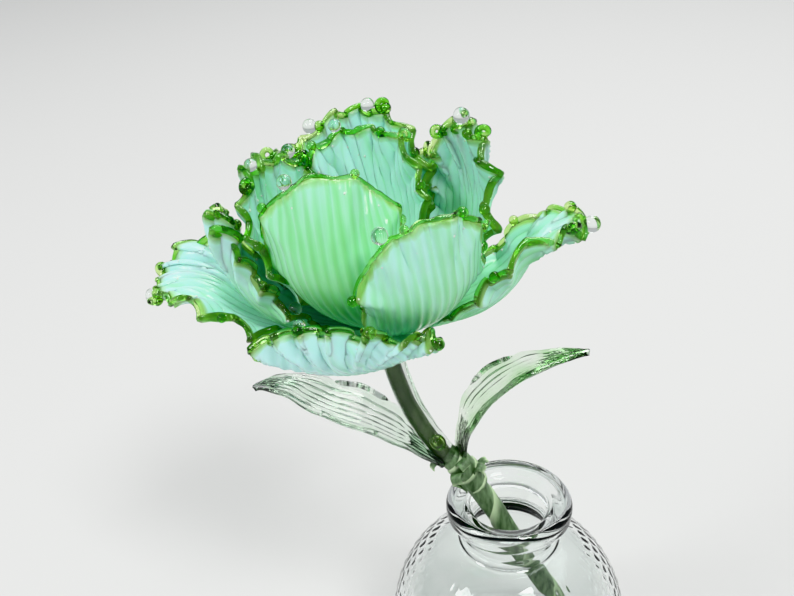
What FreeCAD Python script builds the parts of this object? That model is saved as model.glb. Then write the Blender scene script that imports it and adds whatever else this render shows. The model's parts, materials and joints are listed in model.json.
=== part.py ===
import FreeCAD, Part
import Sketcher
import math
import os

# Small clear-glass bottle used as a bud vase, with a lampworked glass flower standing in it.
# Origin at the centre of the bottle's foot, Z up, millimetres. The bloom leans towards -X.

V = FreeCAD.Vector
doc = FreeCAD.newDocument("BudVaseWithGlassFlower")

# ---------------------------------------------------------------- driving dimensions
DIMENSIONS = [
    ("vase_height", 76.0), ("vase_radius", 32.0), ("body_centre", 34.0), ("foot_radius", 24.5),
    ("heel_height", 9.0), ("wall", 2.8),
    ("floor_thickness", 6.0), ("shoulder_end_radius", 14.4), ("neck_radius", 13.0),
    ("neck_bottom", 65.2), ("neck_top", 68.6), ("lip_radius", 16.5), ("lip_crest_radius", 15.0),
    ("lip_under_radius", 15.4), ("lip_under_height", 70.0), ("lip_side_height", 72.8),
    ("lip_dish_radius", 11.0), ("lip_dish_height", 74.2), ("mouth_radius", 10.2),
    ("mouth_height", 73.2), ("bore_bottom", 63.6), ("bore_end_radius", 12.0),
    ("inner_heel_radius", 23.0), ("inner_heel_height", 14.0),
    ("stem_lean", 27.2), ("stem_cross_x", -5.9), ("stem_cross_z", 73.6), ("stem_y", 2.8),
    ("stem_foot_z", 12.6), ("wire_top_z", 84.5), ("wire_radius", 1.8), ("tape_radius", 2.9),
    ("tape_top_z", 82.6), ("binding_radius", 3.8), ("glass_stem_radius", 2.9),
    ("glass_core_radius", 1.9), ("heart_width", 13.0), ("heart_height", 9.0),
    ("bloom_x", -28.3), ("bloom_z", 129.5), ("bloom_tilt", 11.0),
    ("petal_thickness", 1.2), ("rim_radius", 0.85), ("leaf_thickness", 1.7),
]

# Each petal: where it points round the bloom's axis (degrees, 0 = +X, 90 = +Y), the height it
# starts at, its lean from the axis at even steps from base to tip, length, half width, share
# of the length that the rounded tip takes, cupping radii, sideways swing and tip roll.
PETALS = [
    ("back_outer", dict(turn=90, rise=0.0, lean=(68, 43, 18, 4), length=54.0, half=21.0,
                        tip=0.42, cup=(10.5, 16.5, 22.5), swing=-1.6, roll=-8)),
    ("back_inner", dict(turn=88, rise=1.5, lean=(60, 38, 8, 3), length=46.5, half=20.0,
                        tip=0.42, cup=(10.5, 15.0, 20.0), swing=-5, roll=-9)),
    ("back_left", dict(turn=128, rise=-0.5, lean=(80, 52, 20, 8), length=53.0, half=15.0,
                       tip=0.42, cup=(12, 16, 22), swing=0, roll=0)),
    ("back_right", dict(turn=58, rise=-1.0, lean=(86, 58, 26, 14), length=45.0, half=15.0,
                        tip=0.42, cup=(12, 16, 24), swing=0, roll=0)),
    ("right_top", dict(turn=20, rise=-0.5, lean=(70, 52, 10, -8), length=53.0, half=13.6,
                       tip=0.42, cup=(14, 18, 26), swing=6, roll=10)),
    ("left_inner", dict(turn=161, rise=1.0, lean=(66, 38, 9, -18), length=51.0, half=19.0,
                        tip=0.42, cup=(14, 19.5, 25), swing=-5.6, roll=-5)),
    ("left_middle", dict(turn=183, rise=-0.5, lean=(85, 62, 14, -20), length=56.0, half=12.0,
                         tip=0.42, cup=(8, 9, 10), swing=-7, roll=16)),
    ("left_outer", dict(turn=-188, rise=-1.0, lean=(83, 68, 40, 118), length=58.0, half=14.0,
                        tip=0.42, cup=(16, 22, 40), swing=-8, roll=-15)),
    ("right_outer", dict(turn=-5, rise=-1.0, lean=(93, 78, 35, 85), length=50.7, half=13.9,
                         tip=0.42, cup=(10.7, 12.9, 21.4), swing=-8, roll=-9.5)),
    ("front", dict(turn=-111, rise=1.0, lean=(65, 34, -20, -32), length=51.0, half=22.0,
                   tip=0.42, cup=(9.5, 14, 18.5), swing=10, roll=24)),
    ("front_right", dict(turn=-58, rise=0.0, lean=(77, 57, 8.5, 5), length=47.0, half=17.3,
                         tip=0.38, cup=(13, 19.6, 28.4), swing=0, roll=-10.7)),
    ("front_low", dict(turn=-114, rise=-1.5, lean=(76, 94, 40, -22), length=36.0, half=23.0,
                       tip=0.34, cup=(38, 38, 58), swing=-8, roll=13.5)),
]

# Clear glass dewdrops: name, petal, place on its edge in degrees round from the tip, radius.
DEWDROPS = [
    ("left_outer_tip", "left_outer", 15, 1.7), ("left_outer_edge", "left_outer", -62, 2.1),
    ("right_outer_tip", "right_outer", 0, 1.9), ("left_inner_tip", "left_inner", -28, 1.7),
    ("left_inner_edge", "left_inner", 10, 1.5), ("back_outer_left", "back_outer", 28, 1.8),
    ("back_outer_right", "back_outer", -14, 1.7), ("back_inner_tip", "back_inner", 12, 1.6),
    ("right_top_tip", "right_top", -8, 1.9), ("front_left", "front", -22, 1.7),
    ("front_right_left", "front_right", -30, 1.8), ("front_low_tip", "front_low", -12, 1.4),
    ("left_middle_edge", "left_middle", 110, 1.5),
]

# Leaves: where each starts, points, bends (lean from upright at even steps), length, half
# width, width shares from stalk to tip, roll.
LEAVES = [
    ("left_leaf", dict(base=(-17.1, 1.4, 87.0), turn=174, swing=-9, lean=(47, 51, 72, 63, 119),
                       length=55.0, half=7.6, widths=(.16, .5, .9, 1, .85, .5, .08),
                       roll=-8, cup=0.22)),
    ("right_leaf", dict(base=(-11.5, 2.6, 86.9), turn=14, swing=-10, lean=(-12, 24, 53, 76, 89),
                        length=49.5, half=6.6, widths=(.18, .5, .9, 1, .85, .5, .08),
                        roll=-8, cup=0.22)),
]

sheet = doc.addObject("Spreadsheet::Sheet", "Dimensions")
ROWS = list(DIMENSIONS)
for petal_name, spec in PETALS:
    ROWS.append((petal_name + "_length", spec["length"]))
    ROWS.append((petal_name + "_half_width", spec["half"]))
for leaf_name, spec in LEAVES:
    ROWS.append((leaf_name + "_length", spec["length"]))
    ROWS.append((leaf_name + "_half_width", spec["half"]))
for row, (alias, value) in enumerate(ROWS, start=1):
    sheet.set("A%d" % row, alias)
    sheet.set("B%d" % row, str(value))
    sheet.setAlias("B%d" % row, alias)
doc.recompute()


def size(alias):
    """A driving dimension from the sheet, in millimetres or degrees."""
    return float(sheet.get(alias))


# ---------------------------------------------------------------- bottle
D = "Dimensions."


def term(item):
    """A corner coordinate as (value, expression): an alias, zero, or both given."""
    if item == 0:
        return 0.0, None
    if isinstance(item, str):
        return size(item), D + item
    return item


inner_radius = size("vase_radius") - size("wall")
INNER = "(Dimensions.vase_radius - Dimensions.wall)"
inner_wall = (inner_radius, INNER)
shoulder_top = (size("body_centre") + math.sqrt(size("vase_radius") ** 2 - size("shoulder_end_radius") ** 2),
                "Dimensions.body_centre + sqrt(Dimensions.vase_radius^2 - Dimensions.shoulder_end_radius^2)")
bore_end = (size("body_centre") + math.sqrt(inner_radius ** 2 - size("bore_end_radius") ** 2),
            "Dimensions.body_centre + sqrt(%s^2 - Dimensions.bore_end_radius^2)" % INNER)


def tangent_radius(run, rise):
    """Radius of an arc that ends upright after this run and rise."""
    return (run ** 2 + rise ** 2) / (2 * run)


heel_radius = tangent_radius(size("vase_radius") - size("foot_radius"), size("heel_height"))
inner_heel_radius = tangent_radius(inner_radius - size("inner_heel_radius"),
                                   size("inner_heel_height") - size("floor_thickness"))

# Half profile: each corner's distance from the axis and height, then the radius of the arc
# that leaves it (None for a straight line) and the side that arc bulges to: +1 left, -1 right.
PROFILE = [
    (0, 0, None, 0),
    ("foot_radius", 0, heel_radius, -1),
    ("vase_radius", "heel_height", None, 0),
    ("vase_radius", "body_centre", "vase_radius", -1),
    ("shoulder_end_radius", shoulder_top, 3.2, 1),
    ("neck_radius", "neck_bottom", None, 0),
    ("neck_radius", "neck_top", None, 0),
    ("lip_under_radius", "lip_under_height", 2.6, -1),
    ("lip_radius", "lip_side_height", 2.6, -1),
    ("lip_crest_radius", "vase_height", None, 0),
    ("lip_dish_radius", "lip_dish_height", 1.1, 1),
    ("mouth_radius", "mouth_height", None, 0),
    ("mouth_radius", "bore_bottom", 4.0, 1),
    ("bore_end_radius", bore_end, inner_radius, 1),
    (inner_wall, "body_centre", None, 0),
    (inner_wall, "inner_heel_height", inner_heel_radius, 1),
    ("inner_heel_radius", "floor_thickness", None, 0),
    (0, "floor_thickness", None, 0),
]


def arc_through(a, b, radius, side):
    """The circular arc from a to b, bulging left (+1) or right (-1) of the way from a to b."""
    chord = b - a
    half = chord.Length / 2
    left = V(-chord.y, chord.x, 0).normalize()
    sagitta = radius - math.sqrt(max(radius * radius - half * half, 0.0))
    return Part.Arc(a, (a + b) * 0.5 + left * (side * sagitta), b)


def plane_of(body, role):
    for feature in body.Origin.OriginFeatures:
        if feature.Role == role:
            return feature
    raise RuntimeError("no origin plane " + role)


bottle = doc.addObject("PartDesign::Body", "bottle")
profile = bottle.newObject("Sketcher::SketchObject", "bottle_profile")
profile.AttachmentSupport = [(plane_of(bottle, "XZ_Plane"), "")]
profile.MapMode = "FlatFace"
corners = [(term(x), term(z)) for x, z, _, _ in PROFILE]
points = [V(x[0], z[0], 0) for x, z in corners]
starts = []
for i, (_, _, radius, side) in enumerate(PROFILE):
    a = points[i]
    b = points[(i + 1) % len(points)]
    if radius is None:
        index = profile.addGeometry(Part.LineSegment(a, b), False)
        starts.append((index, 1, 2))
        continue
    value = size(radius) if isinstance(radius, str) else radius
    index = profile.addGeometry(arc_through(a, b, value, side), False)
    swapped = (profile.getPoint(index, 1) - a).Length > 1e-3
    starts.append((index, 2, 1) if swapped else (index, 1, 2))
for i, (index, first, last) in enumerate(starts):
    after, after_first, _ = starts[(i + 1) % len(starts)]
    profile.addConstraint(Sketcher.Constraint("Coincident", index, last, after, after_first))
for i, ((x, x_text), (z, z_text)) in enumerate(corners):
    index, first, _ = starts[i]
    for kind, axis, value, text in (("DistanceX", -2, x, x_text), ("DistanceY", -1, z, z_text)):
        if text is None:
            profile.addConstraint(Sketcher.Constraint("PointOnObject", index, first, axis))
            continue
        made = profile.addConstraint(Sketcher.Constraint(kind, -1, 1, index, first, value))
        profile.setExpression("Constraints[%d]" % made, text)
for i, (_, _, radius, _) in enumerate(PROFILE):
    if radius is None:
        continue
    value = size(radius) if isinstance(radius, str) else radius
    made = profile.addConstraint(Sketcher.Constraint("Radius", starts[i][0], value))
    if isinstance(radius, str):
        profile.setExpression("Constraints[%d]" % made, D + radius)
turned = bottle.newObject("PartDesign::Revolution", "bottle_turned")
turned.Profile = profile
turned.ReferenceAxis = (profile, ["V_Axis"])
turned.Angle = 360.0
doc.recompute()

# ---------------------------------------------------------------- lower stem and its tape
lean = math.radians(size("stem_lean"))
stem_up = V(-math.sin(lean), 0, math.cos(lean))
stem_turn = FreeCAD.Rotation(V(0, 1, 0), -size("stem_lean"))


def on_stem(height):
    """The point of the lower stem's axis at this height."""
    x = size("stem_cross_x") + (size("stem_cross_z") - height) * math.tan(lean)
    return V(x, size("stem_y"), height)


def rod(name, radius, start, length):
    """A straight cylinder along the lower stem, its radius bound to the sheet."""
    item = doc.addObject("Part::Cylinder", name)
    item.setExpression("Radius", D + radius)
    item.Height = length
    item.Placement = FreeCAD.Placement(start, stem_turn)
    return item


def cut(name, base, *tools):
    """base with the tools taken away, as a chain of Part::Cut features."""
    for number, tool in enumerate(tools, start=1):
        last = number == len(tools)
        item = doc.addObject("Part::Cut", name if last else "%s_less_%d" % (name, number))
        item.Base = base
        item.Tool = tool
        base = item
    return base


def run_to(top):
    """Length along the stem from its foot to a height."""
    return (size(top) - size("stem_foot_z")) / math.cos(lean)


stem_foot = on_stem(size("stem_foot_z"))
wire = rod("lower_stem_wire", "wire_radius", stem_foot, run_to("wire_top_z"))
tape_outside = rod("tape_outside", "tape_radius", stem_foot - stem_up * 0.7, run_to("tape_top_z") + 0.7)
tape = cut("lower_stem_tape", tape_outside, wire)

# ---------------------------------------------------------------- glass stem
GLASS_STEM_PATH = [V(-13.9, 2.8, 86.3), V(-16.9, 2.8, 90.2), V(-20.8, 2.8, 96.8),
                   V(-25.2, 2.8, 106.7), V(-28.4, 2.8, 118.5), V(-29.2, 2.8, 128.0)]


def spline_spine(name, path):
    """A smooth curve through the points, kept as the spine of a sweep."""
    curve = Part.BSplineCurve()
    curve.interpolate(path)
    item = doc.addObject("Part::Feature", name)
    item.Shape = curve.toShape()
    return item


def sweep(name, spine, radius):
    """A round rod of a sheet radius along a spine."""
    edge = spine.Shape.Edges[0]
    start = edge.valueAt(edge.FirstParameter)
    ahead = edge.tangentAt(edge.FirstParameter)
    ring = doc.addObject("Part::Circle", name + "_section")
    ring.setExpression("Radius", D + radius)
    ring.Placement = FreeCAD.Placement(start, FreeCAD.Rotation(V(0, 0, 1), ahead))
    item = doc.addObject("Part::Sweep", name)
    item.Sections = [ring]
    item.Spine = (spine, ["Edge1"])
    item.Solid = True
    item.Frenet = False
    return item


glass_spine = spline_spine("glass_stem_spine", GLASS_STEM_PATH)
core = sweep("stem_core", glass_spine, "glass_core_radius")
glass_outside = sweep("stem_outside", glass_spine, "glass_stem_radius")
casing = cut("stem_casing", glass_outside, core)

binding_spine = spline_spine("binding_spine", [on_stem(76.4), on_stem(79.8), on_stem(83.0),
                                               V(-13.6, 2.8, 86.6), V(-16.3, 2.8, 89.9)])
binding_outside = sweep("binding_outside", binding_spine, "binding_radius")
binding = cut("leaf_binding_tape", binding_outside, tape_outside, wire, glass_outside)

# ---------------------------------------------------------------- bloom
tilt = math.radians(size("bloom_tilt"))
AXIS = V(-math.sin(tilt), 0, math.cos(tilt))
ACROSS = V(math.cos(tilt), 0, math.sin(tilt))
AWAY = V(0, 1, 0)
HEART = V(size("bloom_x"), size("stem_y"), size("bloom_z"))
PETAL_START = 3.0
CLAW = 0.16
WIDEST = 0.62
TIP_END = 14
BODY_STEPS = 9
TIP_STEPS = 9
LEAF_STEPS = 18
ACROSS_COUNT = 13
RIM_START = 0.3
RIM_POINTS = 24
DROP_STAND_OFF = 0.3
STEPS = 60


def between(values, s):
    """Straight-line reading of evenly spaced values at s from 0 to 1."""
    x = min(max(s, 0.0), 1.0) * (len(values) - 1)
    i = min(int(x), len(values) - 2)
    return values[i] + (values[i + 1] - values[i]) * (x - i)


def centreline(base, turn, swing, leans, length, across, away, axis):
    """Points and directions down the middle of a petal or leaf."""
    rows = []
    place = V(base)
    for n in range(STEPS + 1):
        s = n / STEPS
        a = math.radians(between(leans, s))
        t = math.radians(turn + swing * s)
        out = across * math.cos(t) + away * math.sin(t)
        ahead = out * math.sin(a) + axis * math.cos(a)
        if n:
            place = place + (ahead + rows[-1][1]) * (0.5 * length / STEPS)
        rows.append((place, ahead, out))
    return rows


def read_line(rows, s):
    x = min(max(s, 0.0), 1.0) * STEPS
    i = min(int(x), STEPS - 1)
    f = x - i
    return [a * (1 - f) + b * f for a, b in zip(rows[i], rows[i + 1])]


def petal_shape(name, spec):
    """The petal's middle surface: a point for s (0 base to 1 tip) and x millimetres across."""
    length = size(name + "_length")
    t0 = math.radians(spec["turn"])
    base = HEART + (ACROSS * math.cos(t0) + AWAY * math.sin(t0)) * PETAL_START + AXIS * spec["rise"]
    rows = centreline(base, spec["turn"], spec["swing"], spec["lean"], length, ACROSS, AWAY, AXIS)

    def place(s, x):
        middle, ahead, out = read_line(rows, s)
        ahead = V(ahead).normalize()
        side = AXIS.cross(out).normalize()
        inward = ahead.cross(side)
        bend = between(spec["cup"], s)
        roll = math.radians(spec["roll"] * s)
        side, inward = (side * math.cos(roll) + inward * math.sin(roll),
                        inward * math.cos(roll) - side * math.sin(roll))
        return middle + side * (bend * math.sin(x / bend)) + inward * (bend * (1 - math.cos(x / bend)))

    return place


def petal_outline(name, spec):
    """Half the petal's outline as (s, half width) from base to tip; the tip is half an ellipse."""
    half = size(name + "_half_width")
    shoulder = 1 - spec["tip"]
    body = [shoulder * i / BODY_STEPS for i in range(BODY_STEPS)]
    made = [(s, half * petal_width(s)) for s in body]
    for i in range(TIP_STEPS + 1):
        turn = math.radians(90 - (90 - TIP_END) * i / TIP_STEPS)
        s = shoulder + spec["tip"] * math.cos(turn)
        made.append((s, half * petal_width(s) * math.sin(turn)))
    return made


def petal_width(s):
    """Width share before the tip rounds off: a narrow claw that widens over the first part."""
    return CLAW + (1 - CLAW) * math.sin(math.pi / 2 * min(s / WIDEST, 1.0))


def leaf_shape(name, spec):
    """A leaf's middle surface: a point for s (0 stalk to 1 tip) and x millimetres across."""
    length = size(name + "_length")
    half = size(name + "_half_width")
    up = V(0, 0, 1)
    rows = centreline(V(*spec["base"]), spec["turn"], spec["swing"], spec["lean"], length,
                      V(1, 0, 0), AWAY, up)

    def place(s, x):
        middle, ahead, out = read_line(rows, s)
        ahead = V(ahead).normalize()
        side = up.cross(out).normalize()
        inward = ahead.cross(side)
        roll = math.radians(spec["roll"] * s)
        side, inward = (side * math.cos(roll) + inward * math.sin(roll),
                        inward * math.cos(roll) - side * math.sin(roll))
        return middle + side * x + inward * (spec["cup"] * x * x / half)

    return place


def leaf_outline(name, spec):
    """Half the leaf's outline as (s, half width) from stalk to tip."""
    half = size(name + "_half_width")
    return [(i / LEAF_STEPS, half * between(spec["widths"], i / LEAF_STEPS))
            for i in range(LEAF_STEPS + 1)]


def normal_of(place, s, x):
    """Unit normal of a middle surface, on the side that faces into the bloom."""
    low = max(s - 0.01, 0.0)
    high = min(s + 0.01, 1.0)
    along = place(high, x) - place(low, x)
    over = place(s, x + 0.2) - place(s, x - 0.2)
    return along.cross(over).normalize()


def even_points(path, count):
    """Points evenly spaced along a polyline."""
    runs = [0.0]
    for a, b in zip(path, path[1:]):
        runs.append(runs[-1] + (b - a).Length)
    made = []
    j = 0
    for i in range(count):
        goal = runs[-1] * i / (count - 1)
        while j < len(path) - 2 and runs[j + 1] < goal:
            j += 1
        f = (goal - runs[j]) / max(runs[j + 1] - runs[j], 1e-9)
        made.append(path[j] * (1 - f) + path[j + 1] * f)
    return made


def sheet_solid(name, place, outline, thickness, count):
    """A closed solid of even thickness round a middle surface, inside a symmetrical outline."""
    sides = []
    for lift in (-thickness / 2, thickness / 2):
        grid = []
        for s, width in outline:
            xs = [width * (2 * j / (count - 1) - 1) for j in range(count)]
            grid.append([place(s, x) + normal_of(place, s, x) * lift for x in xs])
        surface = Part.BSplineSurface()
        surface.interpolate(grid)
        sides.append(surface)
    faces = [surface.toShape() for surface in sides]
    for which in ("u", "v"):
        for end in (0, 1):
            edges = []
            for surface in sides:
                u0, u1, v0, v1 = surface.bounds()
                curve = surface.uIso((u0, u1)[end]) if which == "u" else surface.vIso((v0, v1)[end])
                edges.append(curve.toShape())
            faces.append(Part.makeRuledSurface(edges[0], edges[1]))
    shell = Part.makeShell(faces)
    shell.sewShape()
    solid = Part.Solid(Part.Shell(shell.Faces))
    if solid.Volume < 0:
        solid.reverse()
    item = doc.addObject("Part::Feature", name)
    item.Shape = solid
    return item


heart_blob = doc.addObject("Part::Ellipsoid", "heart_blob")
heart_blob.setExpression("Radius1", D + "heart_height / 2")
heart_blob.setExpression("Radius2", D + "heart_width / 2")
heart_blob.setExpression("Radius3", D + "heart_width / 2")
heart_blob.Placement = FreeCAD.Placement(HEART, FreeCAD.Rotation(V(0, 0, 1), AXIS))
heart = cut("heart", heart_blob, glass_outside)

places = {}
outlines = {}
bloom_items = []
for petal_name, spec in PETALS:
    place = petal_shape(petal_name, spec)
    outline = petal_outline(petal_name, spec)
    places[petal_name] = place
    outlines[petal_name] = outline
    blank = sheet_solid(petal_name + "_blank", place, outline, size("petal_thickness"), ACROSS_COUNT)
    bloom_items.append(cut("petal_" + petal_name, blank, heart_blob))
    rimmed = [(s, width) for s, width in outline if s > RIM_START]
    path = [place(s, -width) for s, width in rimmed] + [place(1.0, 0.0)]
    path += [place(s, width) for s, width in reversed(rimmed)]
    spine = spline_spine(petal_name + "_edge", even_points(path, RIM_POINTS))
    bloom_items.append(sweep("rim_" + petal_name, spine, "rim_radius"))


def edge_point(petal_name, angle):
    """A point on the petal's edge, angle degrees round from the tip: 0 tip, 90 widest, - one side."""
    spec = dict(PETALS)[petal_name]
    turn = math.radians(angle)
    s = 1 - spec["tip"] + spec["tip"] * math.cos(turn)
    x = size(petal_name + "_half_width") * petal_width(s) * math.sin(turn)
    if abs(angle) > 90:
        s = (1 - spec["tip"]) * (1 - (abs(angle) - 90) / 90)
        x = math.copysign(size(petal_name + "_half_width") * petal_width(s), angle)
    return s, x


for drop_name, petal_name, angle, radius in DEWDROPS:
    place = places[petal_name]
    s, x = edge_point(petal_name, angle)
    edge = place(s, x)
    outward = (edge - place(s - 0.05 * math.cos(math.radians(angle)), x * 0.93)).normalize()
    drop = doc.addObject("Part::Sphere", "dewdrop_" + drop_name)
    drop.Radius = radius
    drop.Placement = FreeCAD.Placement(edge + outward * (radius + DROP_STAND_OFF), FreeCAD.Rotation())
    bloom_items.append(drop)

leaves = []
for leaf_name, spec in LEAVES:
    blank = sheet_solid(leaf_name + "_blank", leaf_shape(leaf_name, spec), leaf_outline(leaf_name, spec),
                        size("leaf_thickness"), 7)
    leaves.append(cut(leaf_name, blank, glass_outside))
doc.recompute()

# ---------------------------------------------------------------- checks and export
NODES = [bottle, wire, tape, core, casing, binding, heart] + leaves + bloom_items
for item in NODES:
    item.Label = item.Name
for item in doc.Objects:
    if "Invalid" in item.State or "Error" in item.State:
        raise RuntimeError("%s did not build: %s" % (item.Name, item.State))
for item in NODES:
    shape = item.Shape
    if shape.isNull() or not shape.isValid() or len(shape.Solids) != 1 or shape.Volume <= 0:
        raise RuntimeError("%s is not one sound solid: valid %s, solids %d, volume %.1f"
                           % (item.Name, shape.isValid(), len(shape.Solids), shape.Volume))

os.makedirs("parts", exist_ok=True)
for item in NODES:
    item.Shape.exportStep("parts/%s.step" % item.Label)
print("parts written:", len(NODES))
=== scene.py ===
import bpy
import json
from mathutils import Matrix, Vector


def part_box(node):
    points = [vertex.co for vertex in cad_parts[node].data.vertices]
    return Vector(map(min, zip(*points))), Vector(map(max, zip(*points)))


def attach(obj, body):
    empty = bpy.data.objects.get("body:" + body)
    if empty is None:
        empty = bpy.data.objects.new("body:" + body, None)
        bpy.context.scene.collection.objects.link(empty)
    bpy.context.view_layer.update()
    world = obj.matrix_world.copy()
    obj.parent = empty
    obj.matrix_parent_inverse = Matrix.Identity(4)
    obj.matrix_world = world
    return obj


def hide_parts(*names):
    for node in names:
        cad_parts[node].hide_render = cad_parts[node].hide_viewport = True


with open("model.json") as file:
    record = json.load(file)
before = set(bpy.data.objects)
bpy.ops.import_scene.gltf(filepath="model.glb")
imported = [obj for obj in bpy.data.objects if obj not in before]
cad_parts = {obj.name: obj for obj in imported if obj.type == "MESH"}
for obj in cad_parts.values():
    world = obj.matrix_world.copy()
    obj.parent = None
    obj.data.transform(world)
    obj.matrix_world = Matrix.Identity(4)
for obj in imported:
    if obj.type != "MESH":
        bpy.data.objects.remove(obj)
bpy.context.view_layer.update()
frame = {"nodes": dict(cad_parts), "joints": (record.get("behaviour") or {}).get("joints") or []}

# %% [markdown]
# # A glass flower in a small bottle
# The object is a small clear bottle with a lampworked glass flower standing in it. The flower has
# milky green petals with ruffled clear green rims, clear dewdrops, two clear leaves, a cased glass
# stem, and a lower stem wrapped in florist's tape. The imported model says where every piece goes,
# and this script gives each piece its finished shape and its glass.

# %% Tools and units
import json
import math
import random
import bpy
import bmesh
from mathutils import Matrix, Vector, noise

MM = 0.001
UP = Vector((0, 0, 1))
AWAY = Vector((0, 1, 0))
print("pieces in the packed model:", len(frame["nodes"]))

# %% [markdown]
# ## Drawing glass from a grid
# Hot glass is drawn into rods and pressed into sheets. Both can be made from one grid: a sheet is
# the grid itself, and a rod is the grid wrapped round a path. So one helper makes the grid and
# moves each vertex to the place that a function gives for it. Merging the doubles then closes a
# rod's seam and its two round ends.


# %% A grid moved by a function
def add_grid(bm, along, around, place, uv_name=None):
    """Adds a grid and moves each vertex to place(u, v), with u and v from 0 to 1."""
    if uv_name and uv_name not in bm.loops.layers.uv:
        bm.loops.layers.uv.new(uv_name)
    made = bmesh.ops.create_grid(bm, x_segments=along, y_segments=around, size=1.0,
                                 calc_uvs=bool(uv_name))
    for vert in made["verts"]:
        vert.co = place((vert.co.x + 1) / 2, (vert.co.y + 1) / 2)
    return made["verts"]


def finish_piece(bm, name, body, material, nodes):
    """Closes the shape, makes it an object, ties it to its body and finish, and hides its CAD
    nodes.
    """
    bmesh.ops.remove_doubles(bm, verts=bm.verts, dist=0.004 * MM)
    bmesh.ops.recalc_face_normals(bm, faces=bm.faces)
    for face in bm.faces:
        face.smooth = True
    mesh = bpy.data.meshes.new(name)
    bm.to_mesh(mesh)
    bm.free()
    mesh.materials.append(material)
    piece = bpy.data.objects.new(name, mesh)
    bpy.context.collection.objects.link(piece)
    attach(piece, body)
    if nodes:
        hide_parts(*nodes)
    return piece


# %% Smooth paths
def smooth_path(points, count):
    """Points along a smooth curve through a few given ones."""
    ends = [points[0] * 2 - points[1]] + list(points) + [points[-1] * 2 - points[-2]]
    spans = len(points) - 1
    made = []
    for n in range(count + 1):
        i = min(spans * n // count, spans - 1)
        f = spans * n / count - i
        a, b, c, d = ends[i:i + 4]
        made.append(0.5 * (2 * b + (c - a) * f + (2 * a - 5 * b + 4 * c - d) * f * f
                           + (3 * b - a - 3 * c + d) * f * f * f))
    return made


# %% Rods and beads
def path_frames(path, hint):
    """The direction and two cross directions at each point, turning as little as they can."""
    frames = []
    side = hint
    for i in range(len(path)):
        ahead = (path[min(i + 1, len(path) - 1)] - path[max(i - 1, 0)]).normalized()
        side = (side - ahead * side.dot(ahead)).normalized()
        frames.append((ahead, side, ahead.cross(side)))
    return frames


def add_rod(bm, path, radius, around=14, hint=UP, uv_name=None):
    """Wraps a grid round a path. radius(u, angle) is in millimetres; both ends are rounded."""
    frames = path_frames(path, hint)
    runs = [0.0]
    for a, b in zip(path, path[1:]):
        runs.append(runs[-1] + (b - a).length)

    def place(u, v):
        i = min(round(u * (len(path) - 1)), len(path) - 1)
        angle = 2 * math.pi * v
        size = radius(u, angle)
        near = min(runs[i], runs[-1] - runs[i]) / size
        size *= math.sqrt(max(0.0, 1 - max(0.0, 1 - near) ** 2))
        _, side, over = frames[i]
        return (path[i] + (side * math.cos(angle) + over * math.sin(angle)) * size) * MM

    return add_grid(bm, len(path) - 1, around, place, uv_name)


def add_bead(bm, centre, radius, stretch=1.0, fine=True):
    """A round bead of glass, as a sphere stretched a little along Z."""
    place = Matrix.Translation(centre * MM) @ Matrix.Diagonal((1, 1, stretch, 1))
    bmesh.ops.create_uvsphere(bm, u_segments=24 if fine else 8, v_segments=16 if fine else 5,
                              radius=radius * MM, matrix=place)


# %% Smooth changes
def wobble(*values):
    """Smooth noise from -1 to 1, the same on every run."""
    return noise.noise(Vector((list(values) + [0.0, 0.0])[:3]))


def smoothstep(low, high, value):
    """0 below low, 1 above high, with a gentle rise between them."""
    f = min(max((value - low) / (high - low), 0.0), 1.0)
    return f * f * (3 - 2 * f)


def between(values, s):
    """Straight-line reading of evenly spaced values at s from 0 to 1."""
    x = min(max(s, 0.0), 1.0) * (len(values) - 1)
    i = min(int(x), len(values) - 2)
    return values[i] + (values[i + 1] - values[i]) * (x - i)


# %% [markdown]
# ## Clear and coloured glass
# Clear glass lets light through and bends it. A Principled shader with full transmission does
# both. Hand-worked glass is never quite even, so a soft noise varies its tint a little and gives
# the surface the faint ripple that a torch leaves.

# %% Clear and coloured glass
def glass(name, thin, thick, roughness=0.0, ripple=0.05, scale=400):
    """See-through glass whose tint drifts between two colours, with a rippled surface."""
    material = bpy.data.materials.new(name)
    material.use_nodes = True
    nodes = material.node_tree.nodes
    links = material.node_tree.links
    shader = nodes["Principled BSDF"]
    shader.inputs["Roughness"].default_value = roughness
    shader.inputs["IOR"].default_value = 1.5
    shader.inputs["Transmission Weight"].default_value = 1.0
    place = nodes.new("ShaderNodeTexCoord")
    drift = nodes.new("ShaderNodeTexNoise")
    drift.inputs["Scale"].default_value = scale
    drift.inputs["Detail"].default_value = 1.0
    tint = nodes.new("ShaderNodeValToRGB")
    tint.color_ramp.elements[0].position = 0.35
    tint.color_ramp.elements[0].color = (*thin, 1)
    tint.color_ramp.elements[1].position = 0.65
    tint.color_ramp.elements[1].color = (*thick, 1)
    bump = nodes.new("ShaderNodeBump")
    bump.inputs["Strength"].default_value = ripple
    bump.inputs["Distance"].default_value = 0.5 * MM
    links.new(place.outputs["Object"], drift.inputs["Vector"])
    links.new(drift.outputs["Fac"], tint.inputs["Fac"])
    links.new(tint.outputs["Color"], shader.inputs["Base Color"])
    links.new(drift.outputs["Fac"], bump.inputs["Height"])
    links.new(bump.outputs["Normal"], shader.inputs["Normal"])
    return material


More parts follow.
